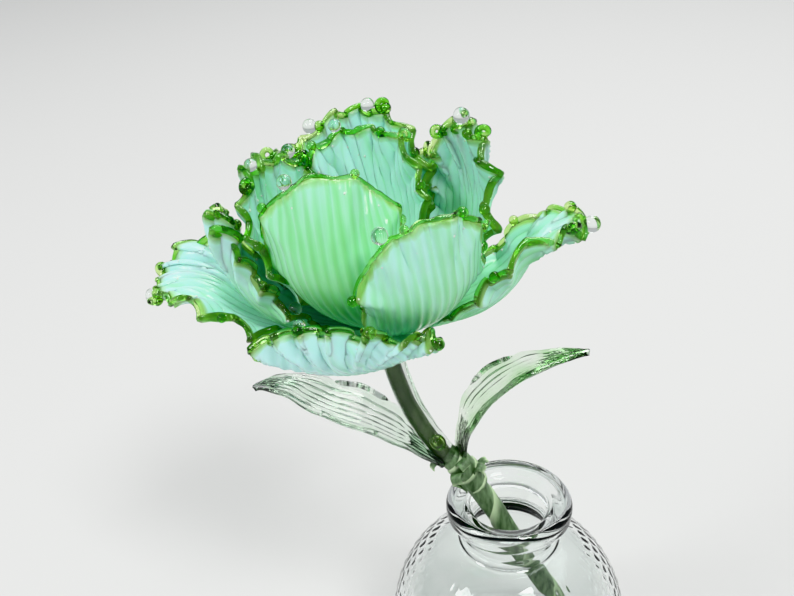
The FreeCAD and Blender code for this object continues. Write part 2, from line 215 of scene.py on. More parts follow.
dewdrop_glass = glass("dewdrop glass", (0.97, 1.0, 0.98), (0.92, 0.99, 0.94), ripple=0.02)
leaf_glass = glass("clear leaf glass", (0.93, 0.98, 0.93), (0.82, 0.94, 0.83), 0.02, 0.10, 110)
tinted_leaf_glass = glass("tinted leaf glass", (0.91, 0.97, 0.89), (0.52, 0.82, 0.46), 0.02, 0.10,
                          90)
bottle_glass = glass("bottle glass", (0.955, 0.98, 0.97), (0.93, 0.965, 0.95), 0.01, 0.05, 120)
casing_glass = glass("stem casing glass", (0.95, 0.99, 0.95), (0.90, 0.97, 0.90), ripple=0.03)
rim_glass = glass("green rim glass", (0.74, 0.98, 0.42), (0.17, 0.68, 0.045), 0.01, 0.10, 130)
print("glasses:", [material.name for material in bpy.data.materials])

# %% [markdown]
# ## Milky petal glass
# The petals are opal glass over green, drawn out so that the colour runs in streaks from the claw
# to the tip. The valleys between the ribs are painted a darker green, as painted shade. Light goes
# in and comes out a little way off, which subsurface scattering gives. Close to the edge the milk
# runs out and the glass is clear green. The pattern reads two UV maps on each petal, so that it
# follows the petal's curve: one runs from base to tip and counts ribs across, and one says how
# near the edge is and how milky the glass is there.

# %% Petal colours
# Share of milk and its colour, from clear green to the palest aqua.
MILK = ((0.16, (0.26, 0.64, 0.20)), (0.34, (0.22, 0.67, 0.24)),
        (0.54, (0.33, 0.79, 0.42)), (0.74, (0.50, 0.91, 0.72)), (0.94, (0.60, 0.98, 0.91)))
MILK_AT_CLAW = 0.08
MILK_GAIN_TO_TIP = 0.34
BROAD_STREAKS = 0.60
FINE_STREAKS = 0.22
# Painted shade: the rib valleys lose milk, so they come out darker green.
VALLEY_PAINTED_SHADE = -0.15
CLEAR_EDGE_FROM = 1.005
CLEAR_EDGE_TO = 1.050
print("petal colours:", len(MILK))


# %% Petal glass
def petal_material():
    """Opal glass with streaks along the petal, greener towards the claw, with painted shade in the
    valleys.
    """
    material = bpy.data.materials.new("milky petal glass")
    material.use_nodes = True
    nodes = material.node_tree.nodes
    links = material.node_tree.links
    shader = nodes["Principled BSDF"]
    uv = nodes.new("ShaderNodeUVMap")
    uv.uv_map = "ribs"
    edge = nodes.new("ShaderNodeUVMap")
    edge.uv_map = "edge"

    def noise_of(along, across, detail):
        stretch = nodes.new("ShaderNodeMapping")
        stretch.inputs["Scale"].default_value = (along, across, 1)
        texture = nodes.new("ShaderNodeTexNoise")
        texture.inputs["Scale"].default_value = 1.0
        texture.inputs["Detail"].default_value = detail
        links.new(uv.outputs["UV"], stretch.inputs["Vector"])
        links.new(stretch.outputs["Vector"], texture.inputs["Vector"])
        return texture.outputs["Fac"]

    def maths(kind, first, second, third=None):
        node = nodes.new("ShaderNodeMath")
        node.operation = kind
        for socket, value in zip(node.inputs, (first, second, third)):
            if isinstance(value, (int, float)):
                socket.default_value = value
            elif value is not None:
                links.new(value, socket)
        return node.outputs["Value"]

    split = nodes.new("ShaderNodeSeparateXYZ")
    links.new(uv.outputs["UV"], split.inputs["Vector"])
    ridge = maths("ABSOLUTE", maths("COSINE", maths("MULTIPLY", split.outputs["Y"], math.pi), 0), 0)
    valley = maths("POWER", ridge, 6)
    out = nodes.new("ShaderNodeSeparateXYZ")
    links.new(edge.outputs["UV"], out.inputs["Vector"])
    milk = maths("MULTIPLY_ADD", out.outputs["Y"], MILK_GAIN_TO_TIP, MILK_AT_CLAW)
    milk = maths("MULTIPLY_ADD", noise_of(2.2, 0.22, 2.0), BROAD_STREAKS, milk)
    milk = maths("MULTIPLY_ADD", noise_of(2.0, 2.6, 3.0), FINE_STREAKS, milk)
    # Painted shade: less milk, so darker green, in the rib valleys.
    milk = maths("MULTIPLY_ADD", valley, VALLEY_PAINTED_SHADE, milk)
    wander = maths("MULTIPLY_ADD", noise_of(9.0, 0.9, 2.0), 0.08, out.outputs["X"])
    clear = nodes.new("ShaderNodeMapRange")
    clear.inputs["From Min"].default_value = CLEAR_EDGE_FROM
    clear.inputs["From Max"].default_value = CLEAR_EDGE_TO
    ramp = nodes.new("ShaderNodeValToRGB")
    ramp.color_ramp.elements[0].position = MILK[0][0]
    ramp.color_ramp.elements[1].position = MILK[-1][0]
    for position, _ in MILK[1:-1]:
        ramp.color_ramp.elements.new(position)
    for element, (_, colour) in zip(ramp.color_ramp.elements, MILK):
        element.color = (*colour, 1)
    links.new(milk, ramp.inputs["Fac"])
    links.new(wander, clear.inputs["Value"])
    rim_tint = nodes.new("ShaderNodeMix")
    rim_tint.data_type = "RGBA"
    rim_tint.inputs["B"].default_value = (0.52, 0.92, 0.28, 1)
    links.new(clear.outputs["Result"], rim_tint.inputs["Factor"])
    links.new(ramp.outputs["Color"], rim_tint.inputs["A"])
    links.new(rim_tint.outputs["Result"], shader.inputs["Base Color"])
    links.new(maths("MULTIPLY_ADD", clear.outputs["Result"], 0.55, 0.08),
              shader.inputs["Transmission Weight"])
    shader.inputs["Roughness"].default_value = 0.10
    shader.inputs["IOR"].default_value = 1.5
    shader.inputs["Subsurface Weight"].default_value = 0.6
    shader.inputs["Subsurface Radius"].default_value = (0.75, 1.0, 0.80)
    shader.inputs["Subsurface Scale"].default_value = 0.8 * MM
    return material


petal_glass = petal_material()
print("nodes in the petal glass:", len(petal_glass.node_tree.nodes))

# %% [markdown]
# ## Where the bloom sits
# Every petal grows from the glass heart at the top of the stem. The bloom's axis leans a little
# to the left and each petal turns round it, so three directions describe them all.

# %% The bloom's own directions
heart_low, heart_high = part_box("heart")
HEART = (Vector(heart_low) + Vector(heart_high)) / 2 / MM
BLOOM_TILT = math.radians(11)
AXIS = Vector((-math.sin(BLOOM_TILT), 0, math.cos(BLOOM_TILT)))
ACROSS = Vector((math.cos(BLOOM_TILT), 0, math.sin(BLOOM_TILT)))
PETAL_START = 3.0
CLAW = 0.16
WIDEST = 0.62
print("heart at", [round(value, 1) for value in HEART], "mm")


# %% Petal sizes
def petal(turn, rise, lean, length, half, tip, cup, swing, roll, ruffle, waves, phase):
    """Turn round the axis, start height, lean at even steps, length, half width, share of the
    round tip, cupping radii, sideways swing, tip roll, ruffle depth, ruffles per radian, phase."""
    return dict(turn=turn, rise=rise, lean=lean, length=length, half=half, tip=tip, cup=cup,
                swing=swing, roll=roll, ruffle=ruffle, waves=waves, phase=phase)


PETALS = {
    "back_outer": petal(90, 0, (68, 43, 18, 4), 54, 21, .42, (10.5, 16.5, 22.5),
                        -1.6, -8, 1.8, 17, .4),
    "back_inner": petal(88, 1.5, (60, 38, 8, 3), 46.5, 20, .42, (10.5, 15, 20),
                        -5, -9, 1.4, 16, 2.0),
    "back_left": petal(128, -.5, (80, 52, 20, 8), 53, 15, .42, (12, 16, 22),
                       0, 0, 1.8, 16, 1.0),
    "back_right": petal(58, -1, (86, 58, 26, 14), 45, 15, .42, (12, 16, 24),
                        0, 0, 1.6, 16, 3.0),
    "right_top": petal(20, -.5, (70, 52, 10, -8), 53, 13.6, .42, (14, 18, 26),
                       6, 10, 2.7, 16, 1.3),
    "left_inner": petal(161, 1, (66, 38, 9, -18), 51, 19, .42, (14, 19.5, 25),
                        -5.6, -5, 1.8, 17, .2),
    "left_middle": petal(183, -.5, (85, 62, 14, -20), 56, 12, .42, (8, 9, 10),
                         -7, 16, 2.8, 17, 2.6),
    "left_outer": petal(-188, -1, (83, 68, 40, 118), 58, 14, .42, (16, 22, 40),
                        -8, -15, 2.7, 19, .9),
    "right_outer": petal(-5, -1, (93, 78, 35, 85), 50.7, 13.9, .42, (10.7, 12.9, 21.4),
                         -8, -9.5, 2.3, 15, 2.2),
    "front": petal(-111, 1, (65, 34, -20, -32), 51, 22, .42, (9.5, 14, 18.5),
                   10, 24, 0.8, 12, 1.1),
    "front_right": petal(-58, 0, (77, 57, 8.5, 5), 47, 17.3, .38, (13, 19.6, 28.4),
                         0, -10.7, 1.1, 12, .6),
    "front_low": petal(-114, -1.5, (76, 94, 40, -22), 36, 23, .34, (38, 38, 58),
                       -8, 13.5, 2.3, 18, 1.9),
}
print(len(PETALS), "petals")

# %% [markdown]
# ## Petal shape
# A petal is a sheet about a middle line that leans out and then back in. The line is followed in
# small steps. Across it the sheet bends to a radius, like a gutter, and near the edge it is
# thrown into ruffles, as the maker does with tweezers while the rim is soft.

# %% The middle line
LINE_STEPS = 80


def middle_line(start, spec, across, axis):
    """Rows of point, direction ahead and direction outwards, from base to tip."""
    rows = []
    point = start.copy()
    for n in range(LINE_STEPS + 1):
        s = n / LINE_STEPS
        a = math.radians(between(spec["lean"], s))
        t = math.radians(spec["turn"] + spec["swing"] * s)
        out = across * math.cos(t) + AWAY * math.sin(t)
        ahead = out * math.sin(a) + axis * math.cos(a)
        if n:
            point = point + (ahead + rows[-1][1]) * (0.5 * spec["length"] / LINE_STEPS)
        rows.append((point, ahead, out))
    return rows


def read_line(rows, s, axis):
    """The point and the three directions of a middle line at s: ahead, sideways, inward."""
    x = min(max(s, 0.0), 1.0) * LINE_STEPS
    i = min(int(x), LINE_STEPS - 1)
    point, ahead, out = [a.lerp(b, x - i) for a, b in zip(rows[i], rows[i + 1])]
    ahead.normalize()
    side = axis.cross(out).normalized()
    return point, ahead, side, ahead.cross(side)


def roll_by(side, inward, degrees):
    """Turns the sideways and inward directions about the way ahead."""
    a = math.radians(degrees)
    return side * math.cos(a) + inward * math.sin(a), inward * math.cos(a) - side * math.sin(a)


# %% A petal's surface
def petal_line(spec):
    turn = math.radians(spec["turn"])
    start = HEART + (ACROSS * math.cos(turn) + AWAY * math.sin(turn)) * PETAL_START
    return middle_line(start + AXIS * spec["rise"], spec, ACROSS, AXIS)


def petal_width(s):
    """Width share before the tip rounds off: a narrow claw that widens over the first part."""
    return CLAW + (1 - CLAW) * math.sin(math.pi / 2 * min(s / WIDEST, 1.0))


def edge_share(u, v):
    """0 well inside the petal, 1 at its edge or tip."""
    return (abs(math.sin((v - 0.5) * math.pi)) ** 7 + u ** 7) ** (1 / 7)


def petal_point(spec, rows, u, v, inset=0.0):
    """A point of the ruffled sheet, u from base to tip and v across, with its directions."""
    turn = (v - 0.5) * math.pi
    rounded = 1 - spec["tip"] + spec["tip"] * math.cos(turn)
    s = u * rounded * (1 - inset / spec["length"])
    x = spec["half"] * petal_width(u * rounded) * math.sin(turn) * (1 - inset / spec["half"])
    point, ahead, side, inward = read_line(rows, s, AXIS)
    side, inward = roll_by(side, inward, spec["roll"] * s)
    bend = between(spec["cup"], s)
    a = x / bend
    point = point + side * (bend * math.sin(a)) + inward * (bend * (1 - math.cos(a)))
    normal = inward * math.cos(a) - side * math.sin(a)
    over = side * math.cos(a) + inward * math.sin(a)
    angle = math.atan2(x / spec["half"], (s - 0.45) * 1.6)
    swing = angle * spec["waves"] + spec["phase"] + 1.8 * wobble(angle * 1.9, spec["phase"] * 3)
    depth = spec["ruffle"] * (0.8 + 0.7 * wobble(angle * 1.4, spec["phase"] * 7))
    depth *= smoothstep(0.62, 1.05, edge_share(u, v)) * smoothstep(0.15, 0.5, s)
    outward = over * math.sin(angle) + ahead * math.cos(angle)
    point = point + normal * (depth * (math.sin(swing) + 0.25 * math.sin(2 * swing + 1)))
    point = point + outward * (0.45 * depth * math.cos(swing + 0.6))
    sideways = over * math.cos(angle) - ahead * math.sin(angle)
    point = point + sideways * (0.40 * depth * math.sin(2 * swing))
    return point, normal, outward


petal_lines = {name: petal_line(spec) for name, spec in PETALS.items()}
print("middle lines:", len(petal_lines), "of", LINE_STEPS, "steps")

# %% [markdown]
# ## Petals
# Each petal is one ruffled grid given its thickness by a Solidify modifier. Its face carries the
# ribs that an optic mould leaves: broad rounded bands with narrow valleys between them, all
# running together at the claw.

# %% Petal meshes
PETAL_THICKNESS = 1.15
RIB_SPACING = 2.2
RIB_HEIGHT = 0.34
SHEET_INSET = 0.55
PETAL_ALONG = 78
PETAL_ACROSS = 176
# How much milkier than the common glass a petal is, as a share of the fade from claw to tip.
MILKIER = {"front": -0.42, "front_right": 0.10, "left_outer": 0.45, "front_low": 0.60,
           "back_inner": 0.45, "back_outer": 0.35, "right_top": 0.30, "right_outer": 0.10,
           "left_middle": 0.25, "left_inner": 0.20}


def rib_count(spec, u, v):
    """Ribs counted from the petal's middle, drifting a little as they do in drawn glass."""
    drift = 0.3 * wobble(u * 2.2, v * 4, spec["phase"])
    return math.sin((v - 0.5) * math.pi) * spec["half"] / RIB_SPACING + drift


def make_petal(name, spec):
    rows = petal_lines[name]

    def place(u, v):
        point, normal, _ = petal_point(spec, rows, u, v, SHEET_INSET)
        valley = abs(math.cos(math.pi * rib_count(spec, u, v))) ** 4
        return (point - normal * (RIB_HEIGHT * valley * smoothstep(0.08, 0.4, u))) * MM

    bm = bmesh.new()
    add_grid(bm, PETAL_ALONG, PETAL_ACROSS, place, "ribs")
    edge = bm.loops.layers.uv.new("edge")
    ribs = bm.loops.layers.uv["ribs"]
    for face in bm.faces:
        for loop in face.loops:
            u, v = loop[ribs].uv
            loop[ribs].uv = (u + spec["phase"] * 10, rib_count(spec, u, v))
            nearness = edge_share(u, v) * smoothstep(0.05, 0.35, u)
            loop[edge].uv = (nearness, u + MILKIER.get(name, 0))
    piece = finish_piece(bm, "petal-" + name.replace("_", "-"), "flower", petal_glass,
                         ["petal_" + name])
    wall = piece.modifiers.new("thickness", "SOLIDIFY")
    wall.thickness = PETAL_THICKNESS * MM
    wall.offset = 0
    return piece


petals = {name: make_petal(name, spec) for name, spec in PETALS.items()}
print("petal faces:", sum(len(piece.data.polygons) for piece in petals.values()))

# %% [markdown]
# ## Green rims
# A trail of clear green glass is laid round each petal's edge and melted in, so it swells and
# thins as it goes, and here and there it throws off a curl or a bead. Each rim is a rod along the
# ruffled edge, with its curls and beads as further closed shapes in the same mesh.

# %% Rim paths
RIM_RADIUS = 0.72
RIM_START = 0.36
RIM_STEP = 0.42


def edge_path(name):
    """Evenly spaced points along the petal's ruffled edge, from one side round the tip."""
    spec = PETALS[name]
    rows = petal_lines[name]
    side = [RIM_START + (1 - RIM_START) * i / 150 for i in range(150)]
    places = [(u, 0.0) for u in side] + [(1.0, i / 220) for i in range(221)]
    places += [(u, 1.0) for u in reversed(side)]
    fine = [petal_point(spec, rows, u, v)[0] for u, v in places]
    path = [fine[0]]
    for point in fine:
        if (point - path[-1]).length >= RIM_STEP:
            path.append(point)
    return path


edges = {name: edge_path(name) for name in PETALS}
print("rim lengths in mm:", {name: round(len(path) * RIM_STEP) for name, path in edges.items()})

# %% Curls, beads and fine rims
# Petal, share of the way along its edge, loop radius.
CURLS = {"right_top": ((0.40, 1.4), (0.57, 1.2)), "left_outer": ((0.47, 1.6), (0.60, 1.5)),
         "left_middle": ((0.50, 1.8), (0.28, 1.6)), "front_low": ((0.04, 1.8), (0.95, 1.7)),
         "front": ((0.10, 1.2),), "back_outer": ((0.40, 1.4), (0.66, 1.5)),
         "right_outer": ((0.40, 1.5),), "left_inner": ((0.60, 1.5), (0.33, 1.4)),
         "back_inner": ((0.64, 1.4), (0.34, 1.3)), "front_right": ((0.04, 1.3), (0.70, 1.2)),
         "back_left": ((0.50, 1.5),), "back_right": ((0.50, 1.5),)}
CURL_STEPS = 36
# Rims that thin out along part of their length, as shares of the full radius from start to end.
FINE_RIMS = {"front_right": (0.45, 0.45, 0.65, 1, 1), "front": (0.9, 0.8, 0.75, 0.85, 0.8),
             "right_outer": (0.8, 1, 1, 0.9, 0.6)}
print("curls:", sum(len(curls) for curls in CURLS.values()))

# %% Rim meshes
GREEN_BEADS = 4


def outward_at(name, i):
    """The way out of the petal at a point of its edge."""
    path = edges[name]
    middle = read_line(petal_lines[name], 0.62, AXIS)[0]
    ahead = (path[min(i + 2, len(path) - 1)] - path[max(i - 2, 0)]).normalized()
    out = path[i] - middle
    return (out - ahead * out.dot(ahead)).normalized(), ahead


def make_rim(name):
    path = edges[name]
    phase = PETALS[name]["phase"]

    def radius(u, angle):
        swell = 1.05 + 0.55 * wobble(u * 24, phase * 5) + 0.30 * wobble(u * 60, phase * 9)
        fineness = between(FINE_RIMS.get(name, (1, 1)), u)
        return RIM_RADIUS * swell * fineness * (1 + 0.10 * math.cos(2 * angle))

    bm = bmesh.new()
    add_rod(bm, path, radius, hint=AXIS)
    for share, size in CURLS.get(name, ()):
        i = round(share * (len(path) - 1))
        out, ahead = outward_at(name, i)
        centre = path[i] + out * size
        loop = []
        for n in range(CURL_STEPS + 1):
            a = 2 * math.pi * 1.25 * n / CURL_STEPS
            reach = size * (1 - 0.35 * n / CURL_STEPS)
            loop.append(centre + (ahead * math.sin(a) - out * math.cos(a)) * reach
                        + ahead.cross(out) * (0.9 * n / CURL_STEPS))
        add_rod(bm, loop, lambda u, angle: 0.80 - 0.20 * u, hint=ahead.cross(out))
    for n in range(GREEN_BEADS):
        share = 0.12 + 0.76 * (n + 0.5 + 0.4 * wobble(n * 3.1, phase * 4)) / GREEN_BEADS
        i = round(share * (len(path) - 1))
        out, _ = outward_at(name, i)
        add_bead(bm, path[i] + out * 0.7, 1.25 + 0.45 * wobble(n * 1.7, phase * 6))
    return finish_piece(bm, "rim-" + name.replace("_", "-"), "flower", rim_glass,
                        ["rim_" + name])


rims = {name: make_rim(name) for name in PETALS}
print("rims:", len(rims))

# %% [markdown]
# ## Dewdrops and specks
# Drops of clear glass are touched on to the rims, and white specks are scattered just inside them
# as painted glints. A drop is a round bead whose place comes from its CAD sphere, moved just
# enough to sit on the ruffled rim. The specks are many, so each has only a few dozen faces.

# %% Dewdrops
for node in sorted(frame["nodes"]):
    if not node.startswith("dewdrop_"):
        continue
    low, high = [Vector(corner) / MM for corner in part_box(node)]
    centre = (low + high) / 2
    size = (high - low).x / 2
    owner = max((name for name in PETALS if node.startswith("dewdrop_" + name)), key=len)
    foot = min(edges[owner], key=lambda point: (point - centre).length)
    out = (centre - foot).normalized()
    bm = bmesh.new()
    add_bead(bm, foot + out * (size + 0.25), size, 1.04)
    finish_piece(bm, node.replace("_", "-"), "flower", dewdrop_glass, [node])
print("dewdrops done")

# %% Specks inside the rims, as painted glints
SPECKS_PER_PETAL = 34
GLINT_SPECK_CLEARNESS = 0.25
# The specks are white glass that stands in for glints of light: painted highlights.
glint_speck_glass = glass("white glint speck glass", (0.95, 1.0, 0.96), (0.88, 0.98, 0.90))
glint_speck_shader = glint_speck_glass.node_tree.nodes["Principled BSDF"]
glint_speck_shader.inputs["Transmission Weight"].default_value = GLINT_SPECK_CLEARNESS
draws = random.Random(11)
for name, spec in PETALS.items():
    bm = bmesh.new()
    for _ in range(SPECKS_PER_PETAL):
        u, v = draws.uniform(0.55, 0.97), draws.uniform(0.03, 0.97)
        if draws.random() < 0.5:
            u = draws.uniform(0.86, 0.98)
        else:
            v = draws.choice((draws.uniform(0.02, 0.16), draws.uniform(0.84, 0.98)))
        point, normal, _ = petal_point(spec, petal_lines[name], u, v, SHEET_INSET)
        face = draws.choice((-1, 1)) * PETAL_THICKNESS / 2
        add_bead(bm, point + normal * face, draws.uniform(0.16, 0.40), fine=False)
    finish_piece(bm, "specks-" + name.replace("_", "-"), "flower", glint_speck_glass, [])
print("specks:", SPECKS_PER_PETAL * len(PETALS))

# %% [markdown]
# ## Leaves
# The leaves are glass drawn flat, one clear and one tinted green, with seven raised ribs that
# run from the stalk to the tip and catch the light as bright lines. A leaf is one grid about its
# own middle line. The ribs are part of its shape, so they show in the mesh as well.

# %% Leaf sizes
# Where the stalk starts, turn round UP, sideways swing, lean at even steps, length, half width,
# width shares from stalk to tip, tip roll, cupping, and glass.
LEAVES = {
    "left_leaf": dict(
        base=(-17.1, 1.4, 87.0), turn=174, swing=-9, lean=(47, 51, 72, 63, 119), length=55.0,
        half=7.6, widths=(.16, .5, .9, 1, .85, .5, .08), roll=-8, cup=.22, finish=leaf_glass),
    "right_leaf": dict(
        base=(-11.5, 2.6, 86.9), turn=14, swing=-10, lean=(-12, 24, 53, 76, 89), length=49.5,
        half=6.6, widths=(.18, .5, .9, 1, .85, .5, .08), roll=-8, cup=.22,
        finish=tinted_leaf_glass),
}
LEAF_RIBS = 7
LEAF_RIB_HEIGHT = 0.7
LEAF_THICKNESS = 1.5
LEAF_ALONG = 120
LEAF_ACROSS = 84
print("leaf lengths in mm:", [spec["length"] for spec in LEAVES.values()])


# %% Leaf meshes
def leaf_width(spec, s):
    """Half width along the leaf, from smooth rather than straight steps, with a wavy edge."""
    widths = spec["widths"]
    x = min(s, 0.9999) * (len(widths) - 1)
    i = int(x)
    f = x - i
    f = f * f * (3 - 2 * f)
    return spec["half"] * (widths[i] * (1 - f) + widths[i + 1] * f) * (1 + 0.05 * wobble(s * 9, i))


def make_leaf(node, spec):
    rows = middle_line(Vector(spec["base"]), spec, Vector((1, 0, 0)), UP)

    def place(u, v):
        x = leaf_width(spec, u) * (2 * v - 1)
        point, _, side, inward = read_line(rows, u, UP)
        side, inward = roll_by(side, inward, spec["roll"] * u)
        ridge = 1 - abs(math.sin(math.pi * (v * LEAF_RIBS + 0.25 * wobble(u * 3, v * 2)))) ** 0.7
        height = spec["cup"] * x * x / spec["half"] + LEAF_RIB_HEIGHT * ridge * (1 - u ** 6)
        wave = 0.5 * wobble(u * 5, v * 1.5, spec["turn"]) * smoothstep(0.1, 0.5, u)
        return (point + side * x + inward * (height + wave)) * MM

    bm = bmesh.new()
    add_grid(bm, LEAF_ALONG, LEAF_ACROSS, place)
    leaf = finish_piece(bm, node.replace("_", "-"), "flower", spec["finish"], [node])
    wall = leaf.modifiers.new("thickness", "SOLIDIFY")
    wall.thickness = LEAF_THICKNESS * MM
    wall.offset = 0
    return leaf


leaves = {node: make_leaf(node, spec) for node, spec in LEAVES.items()}
print("leaves:", list(leaves))

# %% [markdown]
# ## Glass stem and heart
# The stem is cased glass: an olive core drawn inside clear glass, which bends the light so that
# the core looks wider than it is. The core is a rod inside the clear rod. The clear end was
# rounded off in the flame, which left a loop of green glass: a short rod closed on itself. The
# heart is the blob of petal glass that every petal was melted on to.

# %% Olive core glass and wire
def painted(name, low, high, scale, roughness, bump_strength, bump_depth, stretch=(1, 1, 1)):
    """A solid finish whose colour drifts between two shades, with a fine grain."""
    material = bpy.data.materials.new(name)
    material.use_nodes = True
    nodes = material.node_tree.nodes
    links = material.node_tree.links
    shader = nodes["Principled BSDF"]
    place = nodes.new("ShaderNodeTexCoord")
    pull = nodes.new("ShaderNodeMapping")
    pull.inputs["Scale"].default_value = stretch
    grain = nodes.new("ShaderNodeTexNoise")
    grain.inputs["Scale"].default_value = scale
    grain.inputs["Detail"].default_value = 4.0
    shade = nodes.new("ShaderNodeValToRGB")
    shade.color_ramp.elements[0].position = 0.35
    shade.color_ramp.elements[0].color = (*low, 1)
    shade.color_ramp.elements[1].position = 0.68
    shade.color_ramp.elements[1].color = (*high, 1)
    bump = nodes.new("ShaderNodeBump")
    bump.inputs["Strength"].default_value = bump_strength
    bump.inputs["Distance"].default_value = bump_depth * MM
    links.new(place.outputs["Object"], pull.inputs["Vector"])
    links.new(pull.outputs["Vector"], grain.inputs["Vector"])
    links.new(grain.outputs["Fac"], shade.inputs["Fac"])
    links.new(shade.outputs["Color"], shader.inputs["Base Color"])
    links.new(grain.outputs["Fac"], bump.inputs["Height"])
    links.new(bump.outputs["Normal"], shader.inputs["Normal"])
    shader.inputs["Roughness"].default_value = roughness
    return material


core_glass = painted("olive core glass", (0.035, 0.075, 0.02), (0.10, 0.17, 0.06), 300, 0.25,
                     0.1, 0.1, (1, 1, 0.25))
wire_steel = painted("florist's wire", (0.05, 0.09, 0.04), (0.10, 0.16, 0.08), 900, 0.4, 0.1, 0.05)
print("solid finishes:", core_glass.name, "and", wire_steel.name)

# %% Stem and core
STEM_RADIUS = 2.9
CORE_RADIUS = 1.25
CORE_OFFSET = Vector((-0.40, 0.1, 0))
STEM_PATH = [Vector(point) for point in (
    (-13.9, 2.8, 86.3), (-16.9, 2.8, 90.2), (-20.8, 2.8, 96.8), (-25.2, 2.8, 106.7),
    (-28.4, 2.8, 118.5), (-29.2, 2.8, 128.0))]
stem_line = smooth_path(STEM_PATH, 150)
bm = bmesh.new()
add_rod(bm, stem_line, lambda u, angle: STEM_RADIUS * (1 + 0.03 * wobble(u * 12)), around=40)
finish_piece(bm, "stem-casing", "flower", casing_glass, ["stem_casing"])
bm = bmesh.new()
core_line = [point + CORE_OFFSET for point in stem_line[3:-3]]
add_rod(bm, core_line, lambda u, angle: CORE_RADIUS * (1 + 0.05 * wobble(u * 9, 3)), around=28)
finish_piece(bm, "stem-core", "flower", core_glass, ["stem_core"])
print("stem length:", round(sum((b - a).length for a, b in zip(stem_line, stem_line[1:])), 1), "mm")

# %% Green loop at the stem's rounded end
LOOP_CENTRE = Vector((-18.3, 0.6, 94.6))
LOOP_ALONG = Vector((-0.55, 0.0, 0.84))
LOOP_ACROSS = Vector((0.82, 0.20, 0.54))
LOOP_TURNS = 1.1
bm = bmesh.new()
loop = [LOOP_CENTRE + LOOP_ALONG * (2.2 * math.sin(a)) + LOOP_ACROSS * (1.5 * math.cos(a))
        for a in [2 * math.pi * LOOP_TURNS * n / 40 for n in range(41)]]
add_rod(bm, loop, lambda u, angle: 0.45, hint=AWAY)
add_bead(bm, LOOP_CENTRE, 1.1)
finish_piece(bm, "stem-end-loop", "flower", rim_glass, [])
print("loop points:", len(loop))

# %% Heart
HEART_LUMPS = 0.05
bm = bmesh.new()
bm.loops.layers.uv.new("ribs")
half = (Vector(heart_high) - Vector(heart_low)) / 2
bmesh.ops.create_uvsphere(bm, u_segments=48, v_segments=28, radius=1.0, calc_uvs=True,
                          matrix=Matrix.Translation(HEART * MM) @ Matrix.Diagonal((*half, 1)))
for vert in bm.verts:
    lump = 1 + HEART_LUMPS * wobble(*(vert.co * 400))
    vert.co = HEART * MM + (vert.co - HEART * MM) * lump
finish_piece(bm, "glass-heart", "flower", petal_glass, ["heart"])
print("heart half sizes:", [round(value / MM, 1) for value in (Vector(heart_high) - HEART * MM)])

# %% [markdown]
# ## Florist's tape
# A strip of waxed crepe is wound up the wire in a steep spiral and pressed down, so each turn
# overlaps the one below it and leaves a step. The crepe creases along the stem. The tube below
# has the steps and creases in its shape. Its UV map runs along and round the stem, and the
# material uses it to pale the stretched edge of each turn.

# %% Tape finish
TAPE_TURNS = 4.2


def tape_material():
    material = painted("florist's tape", (0.060, 0.110, 0.048), (0.22, 0.34, 0.18), 700, 0.42,
                       0.55, 0.12, (1, 1, 0.22))
    nodes = material.node_tree.nodes
    links = material.node_tree.links
    shader = nodes["Principled BSDF"]
    shade = next(node for node in nodes if node.type == "VALTORGB")
    uv = nodes.new("ShaderNodeUVMap")
    uv.uv_map = "wraps"
    split = nodes.new("ShaderNodeSeparateXYZ")
    turn = nodes.new("ShaderNodeMath")
    turn.operation = "FRACT"
    near = nodes.new("ShaderNodeMapRange")
    near.inputs["From Min"].default_value = 0.80
    near.inputs["From Max"].default_value = 0.97
    blend = nodes.new("ShaderNodeMix")
    blend.data_type = "RGBA"
    blend.inputs["B"].default_value = (0.48, 0.62, 0.38, 1)
    links.new(uv.outputs["UV"], split.inputs["Vector"])
    links.new(split.outputs["X"], turn.inputs[0])
    links.new(turn.outputs["Value"], near.inputs["Value"])
    links.new(near.outputs["Result"], blend.inputs["Factor"])
    links.new(shade.outputs["Color"], blend.inputs["A"])
    links.new(blend.outputs["Result"], shader.inputs["Base Color"])
    shader.inputs["Subsurface Weight"].default_value = 0.15
    shader.inputs["Subsurface Radius"].default_value = (0.5, 1.0, 0.4)
    shader.inputs["Subsurface Scale"].default_value = 1.0 * MM
    return material


tape_green = tape_material()
print("tape turns on the lower stem:", TAPE_TURNS)

# %% Wrapped tubes
def add_wrapped(bm, path, radius, turns, step, crease, seed, around=48):
    """A tube with the steps and creases of wound tape; radius(u) is in millimetres."""
    def size(u, angle):
        wrap = (u * turns - angle / (2 * math.pi)) % 1.0
        lifted = smoothstep(0.0, 0.75, wrap) * (1 - smoothstep(0.90, 1.0, wrap))
        fold = abs(wobble(math.cos(angle) * 3.2, math.sin(angle) * 3.2, u * 5 + seed))
        return radius(u) + step * lifted + crease * (fold - 0.3)

    verts = add_rod(bm, path, size, around, AWAY, "wraps")
    wraps = bm.loops.layers.uv["wraps"]
    mine = set(verts)
    for face in bm.faces:
        if face.verts[0] in mine:
            for loop in face.loops:
                u, v = loop[wraps].uv
                loop[wraps].uv = (u * turns - v + 100, v)


# %% The line of the lower stem
slide = Vector(frame["joints"][0]["axis"])
wire_low, wire_high = [Vector(corner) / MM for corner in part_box("lower_stem_wire")]
wire_middle = (wire_low + wire_high) / 2


def rod_size(node):
    """Radius, half length and middle of a straight CAD rod along the stem, from its box."""
    low, high = [Vector(corner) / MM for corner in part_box(node)]
    size = high - low
    radius = size.y / 2
    return radius, (size.z - 2 * radius * abs(slide.x)) / slide.z / 2, (low + high) / 2


def on_stem(height):
    """The point of the lower stem's middle line at a height."""
    return wire_middle + slide * ((height - wire_middle.z) / slide.z)


tape_radius, tape_half, tape_middle = rod_size("lower_stem_tape")
wire_radius, wire_half, _ = rod_size("lower_stem_wire")
print("tape radius", round(tape_radius, 2), "mm, length", round(2 * tape_half, 1), "mm")

